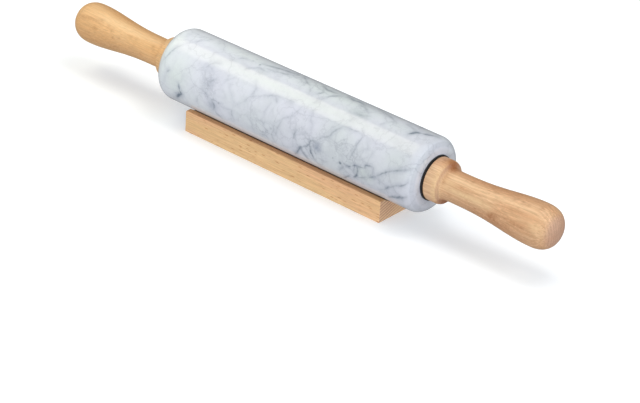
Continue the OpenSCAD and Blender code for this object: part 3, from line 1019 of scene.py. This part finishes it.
def points_round_axis(piece):
    """Places along the axis and from it, in millimetres, and angles in degrees, of a piece's points."""
    place = np.empty(len(piece.data.vertices) * 3, np.float32)
    piece.data.vertices.foreach_get("co", place)
    place = place.reshape(-1, 3).astype(float) / MM
    y, z = place[:, 1], place[:, 2] - axis_h / MM
    return place[:, 0], np.hypot(y, z), np.degrees(np.arctan2(z, y)) % 360


def from_seam(angle, turn, seam):
    """Angles as the paths count them, for what is laid a given turn further round."""
    return (angle - turn - seam) % 360 + seam


def store(piece, layers):
    """Stores named values for a piece's points."""
    for name, values in layers.items():
        layer = piece.data.attributes.new(name, "FLOAT", "POINT")
        layer.data.foreach_set("value", values.astype(np.float32))


def lay_handle_marks(piece, side):
    """Stores on each point of a handle how deep it lies in the dark and light marks of its grain, and in the
    painted shade and sheen laid with them.
    They are laid again half a turn away."""
    along, _, angle = points_round_axis(piece)
    layers = {}
    for name, marks in (("dark_mark_and_shade", HANDLE_DARK[side]), ("light_mark_and_sheen", HANDLE_LIGHT[side])):
        layers[name] = np.zeros(len(along))
        for turn in (0, 180):
            skin = np.stack([along, from_seam(angle, turn, HANDLE_SEAM) * HANDLE_ARC_MM], 1)
            for depth, width, path in marks:
                lay_line(skin, layers[name], layers[name], depth, width, path, HANDLE_ARC_MM)
    store(piece, layers)


def lay_veins(piece):
    """Stores on each point of the barrel how deep it lies in veins, clouds, fine lines and green.
    What is laid on the front is laid again, mirrored and half a turn away, on the back."""
    place_x, from_axis, angle = points_round_axis(piece)
    inwards = np.maximum(0, barrel_r / MM - from_axis)
    along = place_x + np.sign(place_x) * inwards
    layers = {name: np.zeros(len(angle)) for name in ("vein", "cloud", "fretted", "green")}
    noise.seed_set(WANDER_SEED)
    for turn, mirror in ((0, 1), (180, -1)):
        round_mm = from_seam(angle, turn, BARREL_SEAM) * ARC_MM
        skin = wandered(np.stack([along * mirror, round_mm], 1), turn)
        for depth, width, path in VEINS:
            lay_line(skin, layers["vein"], layers["cloud"], depth, VEIN_WIDTH_SHARE * width, path)
        for x, at, radius, depth in SPOTS:
            spot = patches(skin, [(x, at, radius, radius, depth)])
            layers["vein"] = np.maximum(layers["vein"], spot)
        for name, spread in (("cloud", CLOUDS), ("fretted", FRETTED), ("green", GREENISH)):
            layers[name] = np.maximum(layers[name], patches(skin, spread))
    store(piece, layers)


def build_crack_group():
    """A net of thin lines through a solid, from the borders of warped cells, broken up by noise."""
    net, given, out = new_group(
        "fine_lines", "ShaderNodeTree",
        {"Position": VECTOR, "Cell Size": REAL, "Line Width": REAL, "Share": REAL},
        {"Line": REAL, "Haze": REAL},
    )
    width, share = given["Line Width"], given["Share"]
    place = net.scaled(given["Position"], net.over(1.0, given["Cell Size"]))
    drift = net.vector("SUBTRACT", net.noise(place, 1.3, 4.0, 0.6, output="Color"), (0.5, 0.5, 0.5))
    place = net.vector("ADD", place, net.scaled(drift, 1.1))
    cells = net.add("ShaderNodeTexVoronoi", {"Vector": place, "Scale": 1.0}, feature="DISTANCE_TO_EDGE")
    gap = cells.outputs["Distance"]
    shown = net.ramp(net.noise(place, 0.55, 2.0), net.minus(0.72, share), net.minus(0.92, share))
    net.link(net.times(net.ramp(gap, width, 0.0), shown), out["Line"])
    net.link(net.times(net.ramp(gap, net.times(width, 5.0), 0.0), shown), out["Haze"])
    return net.tree


def white_stone(net, place, mottle):
    """White marble, lavender and greenish in turn, with faint grey in broad and in small patches."""
    cast = net.noise(net.vector("ADD", place, (0.3, 0.1, 0.2)), 24.0, 3.0, 0.5)
    cast = net.ramp(cast, 0.35, 0.75, 0.0, 0.6)
    green = net.math("MAXIMUM", cast, net.times(net.stored("green"), 0.95))
    broad = net.noise(place, 30.0, 5.0, 0.6, 0.6)
    stone = net.mix(green, LAVENDER_WHITE, GREEN_WHITE)
    stone = net.mix(net.ramp(broad, 0.42, 0.80, 0.0, 0.30), stone, BROAD_GREY)
    return net.mix(net.ramp(mottle, 0.42, 0.72, 0.0, 0.26), stone, MOTTLED_GREY)


def veined(net, stone, place, mottle, cracks):
    """Lays the clouds, the nets of fine lines and the larger veins over the white stone."""
    cloud = net.times(net.stored("cloud"), net.ramp(mottle, 0.28, 0.72, 0.55, 1.2), clamp=True)
    stone = net.mix(cloud, stone, CLOUD_GREY)
    fretted = net.stored("fretted")
    for cell, width, share, least in LINE_NETS:
        inputs = {"Position": place, "Cell Size": cell, "Line Width": width, "Share": share}
        lines = net.add("ShaderNodeGroup", inputs, node_tree=cracks).outputs
        here = net.times(net.math("MAXIMUM", fretted, least), LINE_STRENGTH)
        stone = net.mix(net.times(lines["Haze"], net.times(here, LINE_HAZE_SHARE)), stone, LINE_HAZE)
        stone = net.mix(net.times(lines["Line"], here), stone, LINE_GREY)
    ragged = net.ramp(net.noise(place, 520.0, 3.0, 0.6), 0.25, 0.65, 0.7, 1.15)
    fading = net.ramp(net.noise(place, 90.0, 3.0, 0.6), 0.32, 0.6, 0.6, 1.15)
    core = net.times(net.times(net.stored("vein"), ragged), fading)
    return net.mix(net.ramp(core, 0.02, 1.15, 0.0, 0.9), stone, VEIN_GREY)


def shaded(net, stone, coordinates):
    """Makes the stone paler towards the left; paints light along the very top and on the end faces, which it
    also cools; and paints shade in a thin ring at the edge of each end."""
    along = net.split(coordinates["Object"])["X"]
    normal = net.split(coordinates["Normal"])
    outwards = net.math("ABSOLUTE", normal["X"])
    paler = net.math("MULTIPLY_ADD", along, -0.60, 1.015)
    paler = net.plus(paler, net.ramp(along, -0.060, -0.110, 0.0, 0.04))
    # Painted light: lighter where the stone faces straight up.
    paler = net.plus(paler, net.ramp(normal["Z"], 0.93, 1.0, 0.0, 0.09))
    stone = net.scaled(stone, paler)
    # Painted light: the end faces paler and cooler.
    stone = net.mix(net.ramp(outwards, 0.5, 0.98), stone, net.tinted(stone, END_FACE_PAINTED_LIGHT))
    # Painted shade: a thin darker ring on the rounding next to each end face.
    crease = net.times(net.ramp(outwards, 0.68, 0.78, 0.0, 0.11), net.ramp(outwards, 0.995, 0.93))
    return net.scaled(stone, net.minus(1.0, crease))


def polished_marble(cracks):
    """White marble with grey clouds, listed veins and nets of finer lines, under a clear polish."""
    net, shader, material = new_material("polished_marble", Specular_IOR_Level=0.5)
    coordinates = net.coordinates()
    place = net.moved(coordinates["Object"], (0, 0, -axis_h))
    mottle = net.noise(place, 150.0, 4.0, 0.65)
    stone = veined(net, white_stone(net, place, mottle), place, mottle, cracks)
    net.link(shaded(net, stone, coordinates), shader.inputs["Base Color"])
    net.link(net.ramp(net.noise(place, 60.0), 0.3, 0.7, 0.13, 0.17), shader.inputs["Roughness"])
    net.relief(shader, mottle, 0.04, 0.05 * MM)
    return material


# Metal and plastic

# Lathe-turned finishes as (material, pale, dark, metallic, roughness, spacing of the rings, bump).
FINISHES = {
    "nylon": ("black_nylon", (0.022, 0.022, 0.024, 1), (0.014, 0.014, 0.015, 1), 0.0, 0.5, 0.3 * MM, 0.2),
    "steel": ("turned_steel", (0.66, 0.67, 0.69, 1), (0.56, 0.57, 0.59, 1), 1.0, 0.3, 0.12 * MM, 0.25),
    "brass": ("turned_brass", (0.80, 0.62, 0.28, 1), (0.70, 0.52, 0.22, 1), 1.0, 0.28, 0.15 * MM, 0.25),
}


def build_lathe_group():
    """Fine rings left by the cutting tool: they run round the pin's axis and vary along it and outwards."""
    net, given, out = new_group(
        "lathe_marks", "ShaderNodeTree",
        {"Position": VECTOR, "Ring Step": REAL}, {"Marks": REAL, "Smudge": REAL},
    )
    place = given["Position"]
    track = net.over(net.plus(net.split(place)["X"], net.from_x_axis(place)), given["Ring Step"])
    net.link(net.noise(net.join(track, net.times(track, 0.3), 0.0), 1.0, 2.0, 0.6), out["Marks"])
    net.link(net.noise(place, 160.0), out["Smudge"])
    return net.tree


def turned_finish(lathe, name, pale, dark, metallic, roughness, step, bump):
    """A lathe-turned finish of one metal or plastic."""
    net, shader, material = new_material(name, Metallic=metallic)
    place = net.moved(net.coordinates()["Object"], (0, 0, -axis_h))
    inputs = {"Position": place, "Ring Step": step}
    lathed = net.add("ShaderNodeGroup", inputs, node_tree=lathe).outputs
    smudge = lathed["Smudge"]
    net.link(net.mix(net.ramp(smudge, 0.3, 0.7), dark, pale), shader.inputs["Base Color"])
    net.link(net.plus(net.times(smudge, 0.2), roughness - 0.1), shader.inputs["Roughness"])
    net.relief(shader, lathed["Marks"], bump, 0.05 * MM)
    return material


# Assembly

# Threads are cut where the radius is between these two.
NO_THREAD = (0, 0)
STUD_THREAD = (stud_r / 2, stud_r + 0.01 * MM)
INSERT_THREAD = (stud_r, stud_r + 0.1 * MM)

# Turned pieces at both ends as (node, finish, outline, segments, crease in degrees, thread, body, slot).
END_PIECES = (
    ("bush", "nylon", bush_outline, 96, 30, NO_THREAD, "roller", "bush_plastic"),
    ("washer", "steel", washer_outline, 72, 30, NO_THREAD, "handles", "steel"),
    ("insert", "brass", insert_outline, 64, 50, INSERT_THREAD, "handles", "brass"),
    ("handle", "beech", handle_outline, handle_segments, 40, NO_THREAD, "handles", "handle_wood"),
)


def fit(piece, body, node):
    """The piece stands for a CAD node, which it hides, and rides on its body."""
    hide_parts(node)
    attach(piece, body)


def make_barrel(tree):
    """The marble, with its veins stored on it."""
    marble = polished_marble(build_crack_group())
    barrel = turned("barrel_marble", barrel_outline(), tree, marble, barrel_segments)
    lay_veins(barrel)
    fit(barrel, "roller", "barrel")


def make_end(side, tree, finishes):
    """The bush, washer, insert and handle at one end of the pin."""
    for node, finish, outline, segments, crease, thread, body, slot in END_PIECES:
        name, line = f"{node}_{side}_{finish}", mirrored(outline(), side)
        piece = turned(name, line, tree, finishes[finish], segments, crease, thread)
        if node == "handle":
            lay_handle_marks(piece, side)
        fit(piece, body, f"{node}_{side}")


def make_pieces():
    """The barrel, the axle, what sits at both ends of them, and the cradle."""
    tree, grain, lathe = build_turned_tree(), build_grain_group(), build_lathe_group()
    make_barrel(tree)
    finishes = {finish: turned_finish(lathe, *values) for finish, values in FINISHES.items()}
    axle = turned("axle_steel", axle_outline(), tree, finishes["steel"], 64, 50, STUD_THREAD)
    fit(axle, "handles", "axle")
    woods = {name: beech(name, grain, **look) for name, look in BEECH.items()}
    for side in SIDES:
        finishes["beech"] = woods[f"oiled_beech_{side}"]
        make_end(side, tree, finishes)
    fit(make_cradle(woods["sanded_beech"]), "cradle", "cradle")


bpy.context.scene.view_settings.view_transform = "Standard"
make_camera()
make_floor()
make_lights()
make_pieces()
